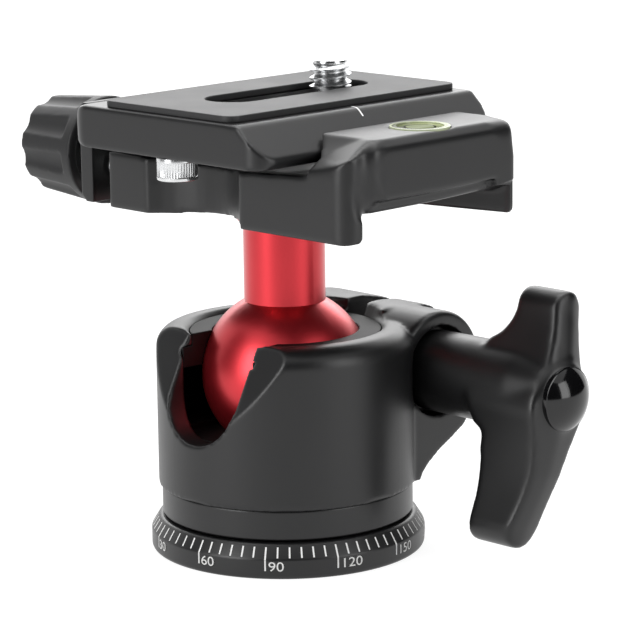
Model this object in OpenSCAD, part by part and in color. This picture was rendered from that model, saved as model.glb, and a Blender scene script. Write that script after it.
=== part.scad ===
// Compact tripod ball head with a panning base, a drop notch, a lever-locked ball and a
// screw clamp that holds a sliding quick-release plate.
// Up is +Z, +Y runs along the plate and +X points to the lock lever and the bubble level.

/* [Panning base] */
// Outer radius of the graduated base disc
dial_r = 20.75; // [20.3:0.05:21.5]
// Height of the base disc
dial_h = 5.1; // [4.8:0.1:5.2]
// Wall radius of the 3/8-16 tripod socket
socket_r = 3.97; // [3.9:0.01:4.1]
// Depth of the tripod socket
socket_depth = 9.5; // [8:0.5:10]

/* [Housing] */
// Outer radius of the housing
housing_r = 19.5; // [19.2:0.1:20]
// Height of the housing's rim above the tripod
rim_z = 33.8; // [33.4:0.1:34.2]
// Radius of the ball chamber
chamber_r = 16; // [15.9:0.1:16.3]
// Width of the drop notch
notch_w = 14.1; // [13.6:0.1:14.6]
// Height of the notch's lowest point
notch_z = 18.6; // [18.4:0.1:19]

/* [Ball] */
// Radius of the ball
ball_r = 12.72; // [12.7:0.01:12.75]
// Height of the ball's centre
ball_z = 26.5; // [26.4:0.1:26.6]
// Radius of the stem
stem_r = 6.12; // [6:0.02:6.2]

/* [Lock lever] */
// Distance of the lock axis behind the ball's centre
lock_y = 17; // [16.8:0.1:17.2]
// Height of the lock axis
lock_z = 26.1; // [26:0.1:26.3]
// Length of the lever's long arm
long_arm = 23.4; // [20:0.2:24]
// Length of the lever's short arm
short_arm = 15.2; // [13:0.2:16]

/* [Clamp] */
// Width of the clamp along the plate
clamp_w = 33; // [32.6:0.2:33.4]
// Height of the clamp screw's axis
screw_z = 56.3; // [56.2:0.1:56.4]
// Outer radius of the clamp knob
knob_r = 8.6; // [8:0.1:8.8]
// Number of flutes round the clamp knob
knob_flutes = 9; // [7:1:12]

/* [Quick-release plate] */
// Length of the plate
plate_l = 49; // [46:0.5:50]
// Height of the plate's underside
plate_z = 61.8; // [61.8:0.1:62]
// Thickness of the metal plate
plate_t = 6.2; // [6:0.1:6.4]
// Thickness of the rubber pad
pad_t = 1; // [0.8:0.1:1.2]
// Place of the camera screw along the plate
camera_y = 10.2; // [-8:0.2:10.4]

/* [Hidden] */
$fn = 72;

black = "#2a2b2c";
soft_black = "#1c1c1d";
red = "#b3202c";
steel = "#b9bcc0";
white_plastic = "#dcdcd8";

run = 0.05;      // radial clearance of a turning or sliding fit
gap = 0.15;      // space between faces that pass each other
cut = 0.5;       // how far a cutting solid runs past the face it opens

// Panning base
dial_top_r = 19.6;
dial_wall_h = 3;
boss_r = 8;
boss_z = 13.2;
collar_r = 19;
collar_z0 = 5.3;
collar_z1 = 9.9;
washer_t = 0.9;
clip_z = 11.6;
clip_t = 0.9;
clip_groove_r = 7.1;
hub_z = 10.5;
spigot_r = 16.6;
spigot_z = 13.7;

// Ball seats
lip_r = 14.4;
lip_z = 31.4;
seat_gap = 0.06;
seat_z0 = 28.2;
cup_z0 = 15.4;
cup_z1 = 19.5;

// Lock: two lugs with a sawn slit between them, pulled together by the stud
barrel_r = 9.1;
barrel_x0 = -14.5;
lug_x = 16;
lug_top = 35.2;
lug_arch_r = 20;
lug_back = 25;
lug_foot = 15;
slit_x0 = -1.6;
slit_x1 = 1.8;
slit_z = 16;
thread_x = -13.1;
mouth_r = 6.9;
mouth_x = 12.7;
washer_x0 = 12.95;
washer_x1 = 13.95;
hub_r = 6.2;
stud_r = 3;
stud_x1 = 34;
cap_seat_r = 4.2;
lever_back = 30.6;
lever_front = 37.6;
lever_tilt = 15;

// Stem and clamp
stem_top = 52.2;
flange_r = 7.9;
bolt_r = 3;
bolt_z0 = 41;
bolt_head_z = 56;
bolt_head_r = 5;
clamp_x0 = -20.5;
clamp_x1 = 30.6;
clamp_near_x1 = 29.5;
clamp_far = 17.8;
leg_z = 51.4;
far_leg_z = 51.9;
floor_under = 55.4;
floor_z = 59.1;
wall_t = 3.2;
jaw_top = 65.8;
boss_under_r = 9;
level_x = 24.9;
level_y = 3.2;
level_r = 4.4;
vial_r = 3.5;
level_depth = 4.2;

// Movable jaw and knob
jaw_x0 = -26.9;
jaw_x1 = -24.2;
jaw_boss_x = -38.6;
knob_x0 = -39;
knob_x1 = -51.8;
clamp_screw_r = 2.5;
pin_r = 1.5;
pin_y = 11.5;
pin_z = 57;

// Plate
plate_x0 = -20.4;
plate_x1 = 20.2;
slope_x = 15.5;
plate_y0 = -24.2;
plate_top = plate_z + plate_t;
pad_top = plate_top + pad_t;
pad_x = 13.67;
slot_y0 = -9.6;
slot_y1 = 12;
slot_upper = 4.4;
slot_lower = 3.3;
head_r = 6;
neck_r = 2.45;
recess_h = 3.4;
stop_y = -21.2;
stop_r = 3;

// An annulus between two heights
module ring(outer, inner, z0, z1) {
    translate([0, 0, z0]) difference() {
        cylinder(r = outer, h = z1 - z0);
        translate([0, 0, -cut]) cylinder(r = inner, h = z1 - z0 + 2 * cut);
    }
}

// A cylinder along X from x0 to x1, placed at y and z
module rod_x(r, x0, x1, y, z) {
    translate([x0, y, z]) rotate([0, 90, 0]) cylinder(r = r, h = x1 - x0);
}

// A box given by its two corners
module block(a, b) {
    translate(a) cube(b - a);
}

// A flat rectangle with round corners, made of exact arcs
module round_rect(a, b, r) {
    difference() {
        translate(a) square(b - a);
        translate(a) corner(r);
        translate([b[0], a[1]]) rotate(90) corner(r);
        translate(b) rotate(180) corner(r);
        translate([a[0], b[1]]) rotate(-90) corner(r);
    }
}

// What a rounding of radius r takes off the corner at the origin of the first quadrant
module corner(r) {
    difference() {
        translate([-1, -1]) square(r + 1);
        translate([r, r]) circle(r);
    }
}

// A slot along Y with round ends centred on slot_y0 and slot_y1
module slot_2d(half) {
    translate([-half, slot_y0]) square([2 * half, slot_y1 - slot_y0]);
    translate([0, slot_y0]) circle(half);
    translate([0, slot_y1]) circle(half);
}

// Base disc with the graduated cone, the bearing boss and the tripod socket
module base_dial() {
    color(black) difference() {
        union() {
            rotate_extrude() polygon([[0, 0], [dial_r - 0.3, 0], [dial_r, 0.4], [dial_r, dial_wall_h],
                [dial_top_r, dial_h - 0.3], [dial_top_r - 0.3, dial_h], [0, dial_h]]);
            cylinder(r = boss_r, h = boss_z);
        }
        translate([0, 0, -cut]) cylinder(r = socket_r, h = socket_depth + cut);
        ring(boss_r + cut, clip_groove_r, clip_z, clip_z + clip_t);
    }
}

module pan_washer() {
    color(white_plastic) ring(16, boss_r + run, dial_h + 0.02, dial_h + 0.02 + washer_t);
}

module thrust_washer() {
    color(steel) ring(12, boss_r + run, hub_z + run, clip_z - 0.02);
}

module retaining_clip() {
    color(steel) difference() {
        ring(9.8, clip_groove_r, clip_z, clip_z + clip_t);
        block([-1.6, 0, clip_z - cut], [1.6, 12, clip_z + clip_t + cut]);
    }
}

// Threaded collar that closes the ball chamber and runs on the base's boss
module bottom_collar() {
    color(black) difference() {
        union() {
            rotate_extrude()
                polygon([[0, collar_z0], [collar_r - 0.3, collar_z0], [collar_r, collar_z0 + 0.3],
                    [collar_r, collar_z1 - 0.2], [collar_r - 0.2, collar_z1], [0, collar_z1]]);
            ring(spigot_r, 12.6, collar_z1 - 0.1, spigot_z);
            cylinder(r = 12.6, h = hub_z);
        }
        translate([0, 0, -cut]) cylinder(r = boss_r + run, h = spigot_z + 2 * cut);
        translate([0, 0, -cut]) cylinder(r = 16.1, h = dial_h + washer_t + run + cut);
        translate([0, 0, hub_z]) cylinder(r = 12.6, h = spigot_z);
    }
}

// Section of the turned housing without its bore
module housing_section() {
    shoulder = 3;
    difference() {
        translate([0, collar_z1]) square([housing_r, rim_z - collar_z1]);
        translate([housing_r, rim_z]) rotate(180) corner(shoulder);
    }
}

// Half section of the ball chamber: collar thread, chamber, lip and bevelled mouth
module chamber_section() {
    bevel = 0.8;
    polygon([[0, collar_z1 - cut], [spigot_r, collar_z1 - cut], [spigot_r, spigot_z], [chamber_r, spigot_z],
        [chamber_r, lip_z], [lip_r, lip_z], [lip_r, rim_z - bevel], [lip_r + bevel, rim_z],
        [lip_r + bevel, rim_z + 12], [0, rim_z + 12]]);
}

// Section of the lug across the stud: arched top, straight back
module lug_section() {
    difference() {
        translate([8, lug_foot]) square([lug_back - 8, lug_top - lug_foot]);
        difference() {
            translate([0, lock_z]) square([40, 20]);
            translate([lock_y, lug_top - lug_arch_r]) circle(lug_arch_r);
        }
        translate([lug_back, lug_foot]) rotate(90) corner(6);
    }
}

// Lug for the lock: an arched block, a barrel round the lever's mouth and a web to the collar
module lock_lug() {
    web_x = 7.5;
    lug_x0 = barrel_x0 + 3.5;
    translate([lug_x0, 0, 0]) rotate([90, 0, 90]) linear_extrude(web_x - lug_x0) lug_section();
    translate([barrel_x0, lock_y, lock_z]) rotate([0, 90, 0]) rotate_extrude() difference() {
        square([barrel_r, lug_x - barrel_x0]);
        translate([barrel_r, 0]) rotate(90) corner(5);
        translate([barrel_r, lug_x - barrel_x0]) rotate(180) corner(0.8);
    }
    translate([web_x, 0, 0]) rotate([90, 0, 90]) linear_extrude(lug_x - web_x)
        polygon([[8, collar_z1], [12.6, collar_z1], [13.2, 11], [14.4, 12.1], [17, 13.9], [20, 15.4],
            [22.6, 16.9], [24, 19.2], [24, 24], [8, 24]]);
}

// Housing: turned body, lock lug, ball chamber, drop notch and the two facets beside it
module housing() {
    facet_lean = 27;
    color(black) difference() {
        union() {
            rotate_extrude() housing_section();
            lock_lug();
        }
        rotate_extrude() chamber_section();
        // Drop notch
        translate([0, -5, notch_z + notch_w / 2]) rotate([90, 0, 0]) linear_extrude(20) {
            circle(notch_w / 2);
            translate([-notch_w / 2, 0]) square([notch_w, 20]);
        }
        // Facets on both sides of the notch
        translate([0, -17.35, 24.8]) rotate([-facet_lean, 0, 0])
            block([-20, -20, -15], [20, 0, 25]);
        // Slit between the lugs, the stud's bore and the lever's mouth
        block([slit_x0, 8, slit_z], [slit_x1, 30, 40]);
        rod_x(stud_r + run, thread_x, lug_x + cut, lock_y, lock_z);
        rod_x(mouth_r, mouth_x, lug_x + cut, lock_y, lock_z);
    }
}

// Space swept by the stem in the drop notch, cut out of the two seats
module notch_cut(y0) {
    translate([-notch_w / 2, y0 - 20, notch_z]) cube([notch_w, 20, 30]);
}

// Upper seat: a flanged plastic ring that holds the ball down
module seat_ring() {
    color(soft_black) difference() {
        union() {
            ring(chamber_r, 6, seat_z0, lip_z);
            ring(lip_r, 6, lip_z - 0.1, 33.2);
        }
        translate([0, 0, ball_z]) sphere(ball_r + seat_gap);
        translate([0, 0, 32.8]) cylinder(r1 = 10.8, r2 = 11.6, h = 0.8);
        notch_cut(-5);
        rod_x(stud_r + 0.4, -20, 20, lock_y, lock_z);
    }
}

// Lower cup that the spring presses against the ball
module ball_cup() {
    color(soft_black) difference() {
        ring(chamber_r - run, 6.2, cup_z0, cup_z1);
        translate([0, 0, ball_z]) sphere(ball_r + seat_gap);
        notch_cut(-5);
    }
}

// Wave spring under the cup, drawn at its working height
module wave_spring() {
    waves = 6;
    color(steel) for (i = [0 : waves - 1]) rotate([0, 0, i * 360 / waves])
        rotate_extrude(angle = 360 / waves)
            translate([12.9, spigot_z + (i % 2 == 0 ? 0 : 1)]) square([2.7, 0.7]);
}

// Washer under the lever's hub, which travels with the stud's thread
module lock_washer() {
    color(steel) difference() {
        rod_x(6, washer_x0, washer_x1, lock_y, lock_z);
        rod_x(stud_r + run, 12, 15, lock_y, lock_z);
    }
}

// Stud that the lever turns in the far lug's thread
module lock_stud() {
    color(steel) rod_x(stud_r, -12, stud_x1, lock_y, lock_z);
}

// Outline of the two-armed lever across its own axis, long arm down
module lever_outline() {
    hub_drop = 2;
    translate([0, -hub_drop]) circle(6);
    lever_arm(short_arm, 2.9, 2.85, 27, 12);
    rotate(180) translate([0, 4]) lever_arm(long_arm - 4, 3.2, 3.1, 32, 12.5);
}

// One arm: flanks hollowed by a large radius, narrowest at waist_at, and a round tip
module lever_arm(length, tip, waist, flank_r, waist_at) {
    difference() {
        translate([-7, 0]) square([14, length - tip]);
        for (side = [-1, 1]) translate([side * (waist + flank_r), waist_at]) circle(flank_r);
    }
    translate([0, length - tip]) circle(tip);
}

// Side profile of the arms: bowed front, a large hollow above the hub and a tight root below it
module lever_profile() {
    front_r = 120;
    hollow_r = 6.5;
    hollow_x = 24.3;
    hollow_z = 12.4;
    back_r = 60;
    back_x = 29.9;
    back_z = -14;
    root_r = 2.2;
    root_x = 27.44;
    root_z = -8.6;
    difference() {
        intersection() {
            translate([hollow_x - 1.5, -30]) square([20, 60]);
            translate([lever_front + 2.2 - front_r, 0]) circle(front_r, $fn = 360);
        }
        translate([hollow_x, hollow_z]) circle(hollow_r);
        translate([hollow_x - 3, hollow_z]) square([hollow_r + 3, 20]);
        translate([hollow_x - 3, hollow_z - hollow_r]) square([3, 30]);
        translate([root_x, root_z]) circle(root_r);
        translate([hollow_x - 3, root_z]) square([root_x - hollow_x + 3, -root_z - hub_r + 1]);
        intersection() {
            translate([back_x - back_r, back_z]) circle(back_r, $fn = 360);
            translate([hollow_x - 3, -31]) square([12, 31 + root_z]);
        }
    }
}

module lever() {
    color(black) difference() {
        union() {
            translate([0, lock_y, lock_z]) rotate([-lever_tilt, 0, 0]) intersection() {
                rotate([90, 0, 90]) linear_extrude(60) lever_outline();
                rotate([90, 0, 0]) translate([0, 0, -20]) linear_extrude(40)
                    lever_profile();
            }
            rod_x(hub_r, washer_x1 + run, lever_back + 3, lock_y, lock_z);
        }
        rod_x(stud_r, 10, stud_x1, lock_y, lock_z);
        rod_x(cap_seat_r, 36, 50, lock_y, lock_z);
    }
}

// Domed cap over the stud's end
module lever_cap() {
    dome_r = 5.4;
    dome_x = 37.8;
    color(soft_black) translate([dome_x, lock_y, lock_z]) rotate([0, 90, 0]) rotate_extrude() {
        intersection() {
            circle(dome_r);
            translate([0, 2.05]) square([4.8, dome_r]);
        }
        translate([0, -1.8]) square([cap_seat_r, 4]);
    }
}

// Ball, stem and top flange turned from one bar
module ball_stem() {
    flare_z = 49;
    flare_h = 2;
    groove_z = 36.8;
    color(red) difference() {
        union() {
            translate([0, 0, ball_z]) sphere(ball_r);
            translate([0, 0, ball_z]) cylinder(r = stem_r, h = flare_z - ball_z);
            translate([0, 0, flare_z]) cylinder(r1 = stem_r, r2 = flange_r, h = flare_h);
            translate([0, 0, flare_z + flare_h]) cylinder(r = flange_r, h = stem_top - flare_z - flare_h);
        }
        translate([0, 0, bolt_z0 - 1]) cylinder(r = bolt_r, h = 20);
        translate([0, 0, groove_z]) rotate_extrude() translate([stem_r + 0.25, 0]) circle(0.4);
    }
}

// Low-head screw that ties the clamp to the stem
module clamp_bolt() {
    color(steel) difference() {
        union() {
            translate([0, 0, bolt_z0]) cylinder(r = bolt_r, h = bolt_head_z - bolt_z0 + 1);
            translate([0, 0, bolt_head_z]) cylinder(r = bolt_head_r, h = 2.8);
        }
        translate([0, 0, bolt_head_z + 1]) cylinder(r = 2.3, h = 3, $fn = 6);
    }
}

// Clamp body
module clamp_body() {
    half = clamp_w / 2;
    web_x = -13.2;
    color(black) difference() {
        union() {
            // Floor, end walls and the block that holds the screw thread
            block([clamp_x0, -half, floor_under], [clamp_x1 - 1.5, half, floor_z]);
            block([clamp_x0, -half, leg_z], [web_x, half, floor_z + 0.8]);
            end_wall(-half, -half + wall_t, clamp_near_x1, leg_z);
            end_wall(half - wall_t, clamp_far, clamp_x1, far_leg_z);
            translate([0, 0, stem_top + run]) cylinder(r = boss_under_r, h = 4);
            fixed_jaw(half);
        }
        // Counterbore and hole for the clamp bolt
        translate([0, 0, bolt_head_z]) cylinder(r = bolt_head_r + run, h = 8);
        translate([0, 0, 50]) cylinder(r = bolt_r + run, h = 10);
        // Thread for the clamp screw, holes for the guide pins
        rod_x(clamp_screw_r + run, clamp_x0 - cut, -8, 0, screw_z);
        for (side = [-1, 1]) rod_x(pin_r + run, clamp_x0 - cut, -13.9, side * pin_y, pin_z);
        // Scallop that clears the plate's stop screw
        translate([-2.1, -half - 9.2, 40]) cylinder(r = 13.5, h = 40);
        // Pocket for the bubble level
        translate([level_x, level_y, jaw_top - level_depth]) cylinder(r = level_r, h = 10);
        // Rounded outer edges at the near and far end
        block([clamp_near_x1, -half - 1, leg_z - 1], [clamp_x1 + 1, -half + 3.6, jaw_top + 1]);
        translate([clamp_near_x1, -half, 40]) linear_extrude(40) rotate(90) corner(1.8);
        translate([clamp_x1, clamp_far, 40]) linear_extrude(40) rotate(180) corner(1.2);
        // Soft groove between the near wall and the jaw's outer face
        translate([clamp_near_x1 + 0.7, -half + 2.9, floor_under + 1.2]) cylinder(r = 1.4, h = 20);
    }
}

// End wall along X from y0 to y1, with a rounded lower edge
module end_wall(y0, y1, x1, foot) {
    x0 = -13.4;
    rise_x = 8.4;
    top = floor_z + 0.7;
    translate([0, y1, 0]) rotate([90, 0, 0]) linear_extrude(y1 - y0) difference() {
        polygon([[x0, foot], [x1, foot], [x1, top + 1.2], [rise_x, top], [x0, top]]);
        translate([x1, foot]) rotate(90) corner(0.9);
    }
}

// Fixed jaw: raised block with the dovetail slope and a hollow slant down to the near end
module fixed_jaw(half) {
    top_chamfer = 1.3;
    foot_z = 57.2;
    undercut_x = 21.6;
    undercut_z = 62.7;
    slant_r = 16;
    slant_y = -22.8;
    slant_z = 76.2;
    shelf_z = 61;
    difference() {
        translate([0, clamp_far, 0]) rotate([90, 0, 0]) linear_extrude(clamp_far + half)
            polygon([[18.5, jaw_top], [clamp_x1 - top_chamfer, jaw_top], [clamp_x1, jaw_top - top_chamfer],
                [clamp_x1, foot_z], [17, foot_z], [17, floor_z],
                [undercut_x, floor_z], [undercut_x, undercut_z]]);
        // Hollow slant down to the near end
        rod_x(slant_r, 10, 40, slant_y, slant_z);
        block([10, -half - 1, shelf_z], [40, -half + 2.2, jaw_top + 1]);
    }
}

module level_ring() {
    color(white_plastic) translate([level_x, level_y, 0])
        ring(level_r, vial_r, jaw_top - level_depth, jaw_top + 0.1);
}

module level_vial() {
    color("#8fb23a") translate([level_x, level_y, jaw_top - level_depth])
        cylinder(r = vial_r, h = level_depth - 0.1);
}

module guide_pins() {
    color(steel) for (side = [-1, 1]) rod_x(pin_r, jaw_x0 + 0.6, -14.2, side * pin_y, pin_z);
}

// Springs that push the jaw open round the guide pins
module return_springs() {
    turns = 3;
    wire_r = 0.35;
    color(steel) for (side = [-1, 1]) translate([clamp_x0 - 0.05, side * pin_y, pin_z]) rotate([0, -90, 0])
        for (i = [0 : turns - 1]) translate([0, 0, wire_r + i * 1.2])
            rotate_extrude() translate([2.1, 0]) circle(wire_r, $fn = 16);
}

// Movable jaw: wall, tongue under the plate's edge, and a tapered boss for the screw
module movable_jaw() {
    half = clamp_w / 2;
    foot = 51.7;
    top = 66.8;
    chamfer = 0.8;
    tongue_w = 26;
    tongue_z0 = 62.6;
    tongue_z1 = 65.4;
    tongue_x = -18.6;
    color(black) difference() {
        union() {
            translate([0, half, 0]) rotate([90, 0, 0]) linear_extrude(clamp_w)
                polygon([[jaw_x1, foot], [jaw_x1, top - chamfer], [jaw_x1 - chamfer, top],
                    [jaw_x0 + chamfer, top], [jaw_x0, top - chamfer], [jaw_x0, foot + 1.2],
                    [jaw_x0 + 1.2, foot]]);
            // Tongue
            translate([0, tongue_w / 2, 0]) rotate([90, 0, 0]) linear_extrude(tongue_w)
                polygon([[jaw_x1 - 0.5, tongue_z0], [tongue_x - 0.6, tongue_z0], [tongue_x, tongue_z0 + 0.6],
                    [tongue_x, tongue_z1 - 1], [tongue_x - 1, tongue_z1], [jaw_x1 - 0.5, tongue_z1]]);
            jaw_boss();
        }
        rod_x(clamp_screw_r + run, -45, -20, 0, screw_z);
        for (side = [-1, 1]) rod_x(pin_r, jaw_x0 + 0.6, -20, side * pin_y, pin_z);
    }
}

// Tapered boss between the wall and the knob
module jaw_boss() {
    length = jaw_x0 - jaw_boss_x;
    translate([jaw_x0 + 0.2, 0, screw_z]) rotate([0, -90, 0]) intersection() {
        cylinder(r1 = 15, r2 = 4.6, h = length + 0.2);
        translate([-4.7, -20, 0]) cube([9.4, 40, 20]);
    }
}

// Fluted plastic knob with a hollow inner face
module clamp_knob() {
    length = knob_x0 - knob_x1;
    color(soft_black) translate([knob_x0, 0, screw_z]) rotate([0, -90, 0]) difference() {
        cylinder(r1 = knob_r, r2 = knob_r - 1, h = length);
        translate([0, 0, -cut]) cylinder(r1 = 7.2, r2 = 6, h = 2.2 + cut);
        for (i = [0 : knob_flutes - 1]) rotate([0, 0, (i + 0.5) * 360 / knob_flutes])
            translate([knob_r + 2.1, 0, 2.4]) rotate([0, -3, 0]) cylinder(r = 3.1, h = length);
        translate([0, 0, -cut]) cylinder(r = clamp_screw_r, h = 9 + cut);
    }
}

module clamp_screw() {
    color(steel) rod_x(clamp_screw_r, knob_x0 - 9, -13.4, 0, screw_z);
}

module knob_washer() {
    color(steel) difference() {
        rod_x(4.4, knob_x0 - 2.2, jaw_boss_x - 0.02, 0, screw_z);
        rod_x(clamp_screw_r + run, -50, -30, 0, screw_z);
    }
}

// Section of the plate: dovetail slope on one side, round edge and clamp groove on the other
module plate_section() {
    difference() {
        polygon([[plate_x0, plate_z], [plate_x0, plate_top], [slope_x, plate_top], [plate_x1, 63.4],
            [plate_x1, 62.6], [plate_x1 - 0.8, plate_z]]);
        translate([plate_x0, plate_top]) rotate(-90) corner(3);
        translate([plate_x0, plate_z]) corner(2);
    }
}

module quick_plate() {
    color(black) difference() {
        intersection() {
            translate([0, plate_y0 + plate_l + 1, 0]) rotate([90, 0, 0])
                linear_extrude(plate_l + 2) plate_section();
            translate([0, 0, plate_z - 1]) linear_extrude(10)
                round_rect([plate_x0 - 0.02, plate_y0], [plate_x1 + 0.02, plate_y0 + plate_l], 3.4);
        }
        // Groove for the movable jaw's tongue, closed at both ends
        block([plate_x0 - cut, -19.4, plate_z + 0.65], [-18.3, 19.4, plate_z + 3.75]);
        // Stepped slot for the camera screw, and the recess under it for its head
        translate([0, 0, plate_z - cut]) linear_extrude(10) slot_2d(slot_lower);
        translate([0, 0, plate_top - 1]) linear_extrude(5) slot_2d(slot_upper);
        translate([0, 0, plate_z - cut]) linear_extrude(recess_h + cut) slot_2d(head_r + 0.7);
        // Threaded hole for the stop screw
        translate([0, stop_y, plate_z - cut]) cylinder(r = 1.5, h = 4.5 + cut);
    }
}

module plate_pad() {
    color(soft_black) difference() {
        translate([0, 0, plate_top]) linear_extrude(pad_t) round_rect([-pad_x, -23.4], [pad_x, 23.7], 2);
        translate([0, 0, plate_top - cut]) linear_extrude(5) slot_2d(slot_upper);
    }
}

module stop_screw() {
    stop_h = 3.6;
    color(steel) translate([0, stop_y, 0]) {
        translate([0, 0, plate_z - stop_h]) cylinder(r = stop_r, h = stop_h);
        translate([0, 0, plate_z - 0.1]) cylinder(r = 1.5, h = 4);
    }
}

// Washer that keeps the camera screw in the slot
module screw_clip() {
    color(soft_black) translate([0, camera_y, 0])
        ring(5.4, neck_r + run, plate_z + recess_h - 0.62, plate_z + recess_h - 0.02);
}

// Quarter-inch camera screw with a slotted head
module camera_screw() {
    color(steel) translate([0, camera_y, 0]) difference() {
        union() {
            translate([0, 0, plate_z + 0.3]) cylinder(r = head_r, h = 2.4);
            translate([0, 0, plate_z + 2.6]) cylinder(r = neck_r, h = 4.4);
            translate([0, 0, plate_z + 6.9]) cylinder(r = 3.175, h = 3.5);
            translate([0, 0, plate_z + 10.4]) cylinder(r1 = 3.175, r2 = 2.5, h = 0.6);
        }
        translate([-head_r - 1, -0.7, plate_z - 0.5]) cube([2 * head_r + 2, 1.4, 1.8]);
    }
}

base_dial();
pan_washer();
thrust_washer();
retaining_clip();
housing();
bottom_collar();
seat_ring();
ball_cup();
wave_spring();
lock_washer();
lever();
lever_cap();
lock_stud();
ball_stem();
clamp_bolt();
clamp_body();
level_ring();
level_vial();
guide_pins();
return_springs();
movable_jaw();
clamp_knob();
clamp_screw();
knob_washer();
quick_plate();
plate_pad();
stop_screw();
screw_clip();
camera_screw();
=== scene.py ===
import bpy, math
from mathutils import Matrix, Vector


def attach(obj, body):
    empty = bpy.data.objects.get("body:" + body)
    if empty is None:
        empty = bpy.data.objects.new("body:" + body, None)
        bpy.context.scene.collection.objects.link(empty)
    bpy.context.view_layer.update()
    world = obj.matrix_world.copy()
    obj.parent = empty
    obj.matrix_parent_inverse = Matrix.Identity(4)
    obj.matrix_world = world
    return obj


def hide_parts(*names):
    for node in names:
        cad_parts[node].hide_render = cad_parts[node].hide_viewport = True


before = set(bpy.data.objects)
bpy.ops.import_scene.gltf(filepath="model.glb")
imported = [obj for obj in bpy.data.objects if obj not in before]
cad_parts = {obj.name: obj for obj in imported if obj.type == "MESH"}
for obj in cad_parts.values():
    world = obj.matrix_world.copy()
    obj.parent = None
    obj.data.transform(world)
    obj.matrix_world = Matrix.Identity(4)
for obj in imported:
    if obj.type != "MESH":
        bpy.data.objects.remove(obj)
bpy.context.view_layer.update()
bpy.ops.object.select_all(action="DESELECT")
MM = 0.001

# ---------------------------------------------------------------------------------------------
# Camera: a long lens at table height, turned a little below the horizon.
# The lever side and the drop notch both face it.
camera_target = Vector((3.692, 3.692, 34.314)) * MM
camera_distance = 448.29 * MM
camera_turn, camera_rise, camera_roll = math.radians(-45), math.radians(12.084), math.radians(-0.731)
bpy.ops.object.camera_add()
camera = bpy.context.object
camera.name = "camera"
camera.data.lens = 167.75
camera.data.sensor_width = 36
camera.data.clip_start = 0.01
toward_camera = Vector((math.cos(camera_rise) * math.cos(camera_turn),
                        math.cos(camera_rise) * math.sin(camera_turn), math.sin(camera_rise)))
camera.matrix_world = (Matrix.Translation(camera_target + toward_camera * camera_distance)
                       @ Matrix.Rotation(camera_turn + math.pi / 2, 4, "Z")
                       @ Matrix.Rotation(math.pi / 2 - camera_rise, 4, "X")
                       @ Matrix.Rotation(camera_roll, 4, "Z"))
bpy.context.scene.camera = camera
bpy.context.scene.view_settings.view_transform = "Standard"


# ---------------------------------------------------------------------------------------------
# Studio: a white table and a white room, with soft boxes left, right and above.
# The table keeps a faint contact shadow.
def linear(code):
    """An sRGB hex colour as linear RGBA."""
    parts = [int(code[i:i + 2], 16) / 255 for i in (1, 3, 5)]
    return tuple(v / 12.92 if v <= 0.04045 else ((v + 0.055) / 1.055) ** 2.4 for v in parts) + (1.0,)


def add(tree, kind, values=None, links=None, **settings):
    """Adds one shader node with its settings, its socket values and its links."""
    node = tree.nodes.new("ShaderNode" + kind)
    for key, value in settings.items():
        setattr(node, key, value)
    for key, value in (values or {}).items():
        node.inputs[key].default_value = value
    for key, (source, output) in (links or {}).items():
        tree.links.new(source.outputs[output], node.inputs[key])
    return node


def new_material(name):
    """An empty node material."""
    material = bpy.data.materials.new(name)
    material.use_nodes = True
    material.node_tree.nodes.clear()
    return material, material.node_tree


world = bpy.data.worlds.new("studio")
bpy.context.scene.world = world
world.use_nodes = True
tree = world.node_tree
tree.nodes.clear()
rays = add(tree, "LightPath")
seen = add(tree, "Math", {}, {0: (rays, "Is Camera Ray"), 1: (rays, "Is Glossy Ray")}, operation="MAXIMUM")
seen = add(tree, "Math", {}, {0: (seen, 0), 1: (rays, "Is Transmission Ray")}, operation="MAXIMUM")
room = add(tree, "Background", {"Color": (1, 1, 1, 1), "Strength": 0.5})
backdrop = add(tree, "Background", {"Color": (1, 1, 1, 1), "Strength": 1.0})
shown = add(tree, "MixShader", {}, {0: (seen, 0), 1: (room, 0), 2: (backdrop, 0)})
add(tree, "OutputWorld", {}, {"Surface": (shown, 0)})

bpy.ops.mesh.primitive_plane_add(size=6, location=(0, 0, -0.02 * MM))
table = bpy.context.object
table.name = "table"
material, tree = new_material("white_table")
rays = add(tree, "LightPath")
seen = add(tree, "Math", {}, {0: (rays, "Is Camera Ray"), 1: (rays, "Is Glossy Ray")}, operation="MAXIMUM")
paper = add(tree, "BsdfDiffuse", {"Color": linear("#8a8a8a")})
glow = add(tree, "Emission", {"Color": (1, 1, 1, 1), "Strength": 0.88})
lifted = add(tree, "AddShader", {}, {0: (paper, 0), 1: (glow, 0)})
mixed = add(tree, "MixShader", {}, {0: (seen, 0), 1: (paper, 0), 2: (lifted, 0)})
add(tree, "OutputMaterial", {}, {"Surface": (mixed, 0)})
table.data.materials.append(material)

# Black flags stand behind the camera and at both sides. Only reflections see them, as in a
# tabletop studio.
material, tree = new_material("black_felt")
felt = add(tree, "BsdfDiffuse", {"Color": linear("#0a0a0a")})
add(tree, "OutputMaterial", {}, {"Surface": (felt, 0)})
for name, turn, wide in (("front_flag", 0, 1.7), ("left_flag", -88, 0.6), ("right_flag", 94, 1.3)):
    bpy.ops.mesh.primitive_plane_add(size=1)
    flag = bpy.context.object
    flag.name = name
    angle = camera_turn + math.radians(turn)
    flag.matrix_world = (Matrix.Translation((math.cos(angle), math.sin(angle), 0.5))
                         @ Matrix.Rotation(angle, 4, "Z") @ Matrix.Rotation(math.pi / 2, 4, "Y")
                         @ Matrix.Diagonal((0.98, wide, 1, 1)))
    flag.data.materials.append(material)
    flag.visible_camera = flag.visible_diffuse = flag.visible_shadow = False

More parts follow.
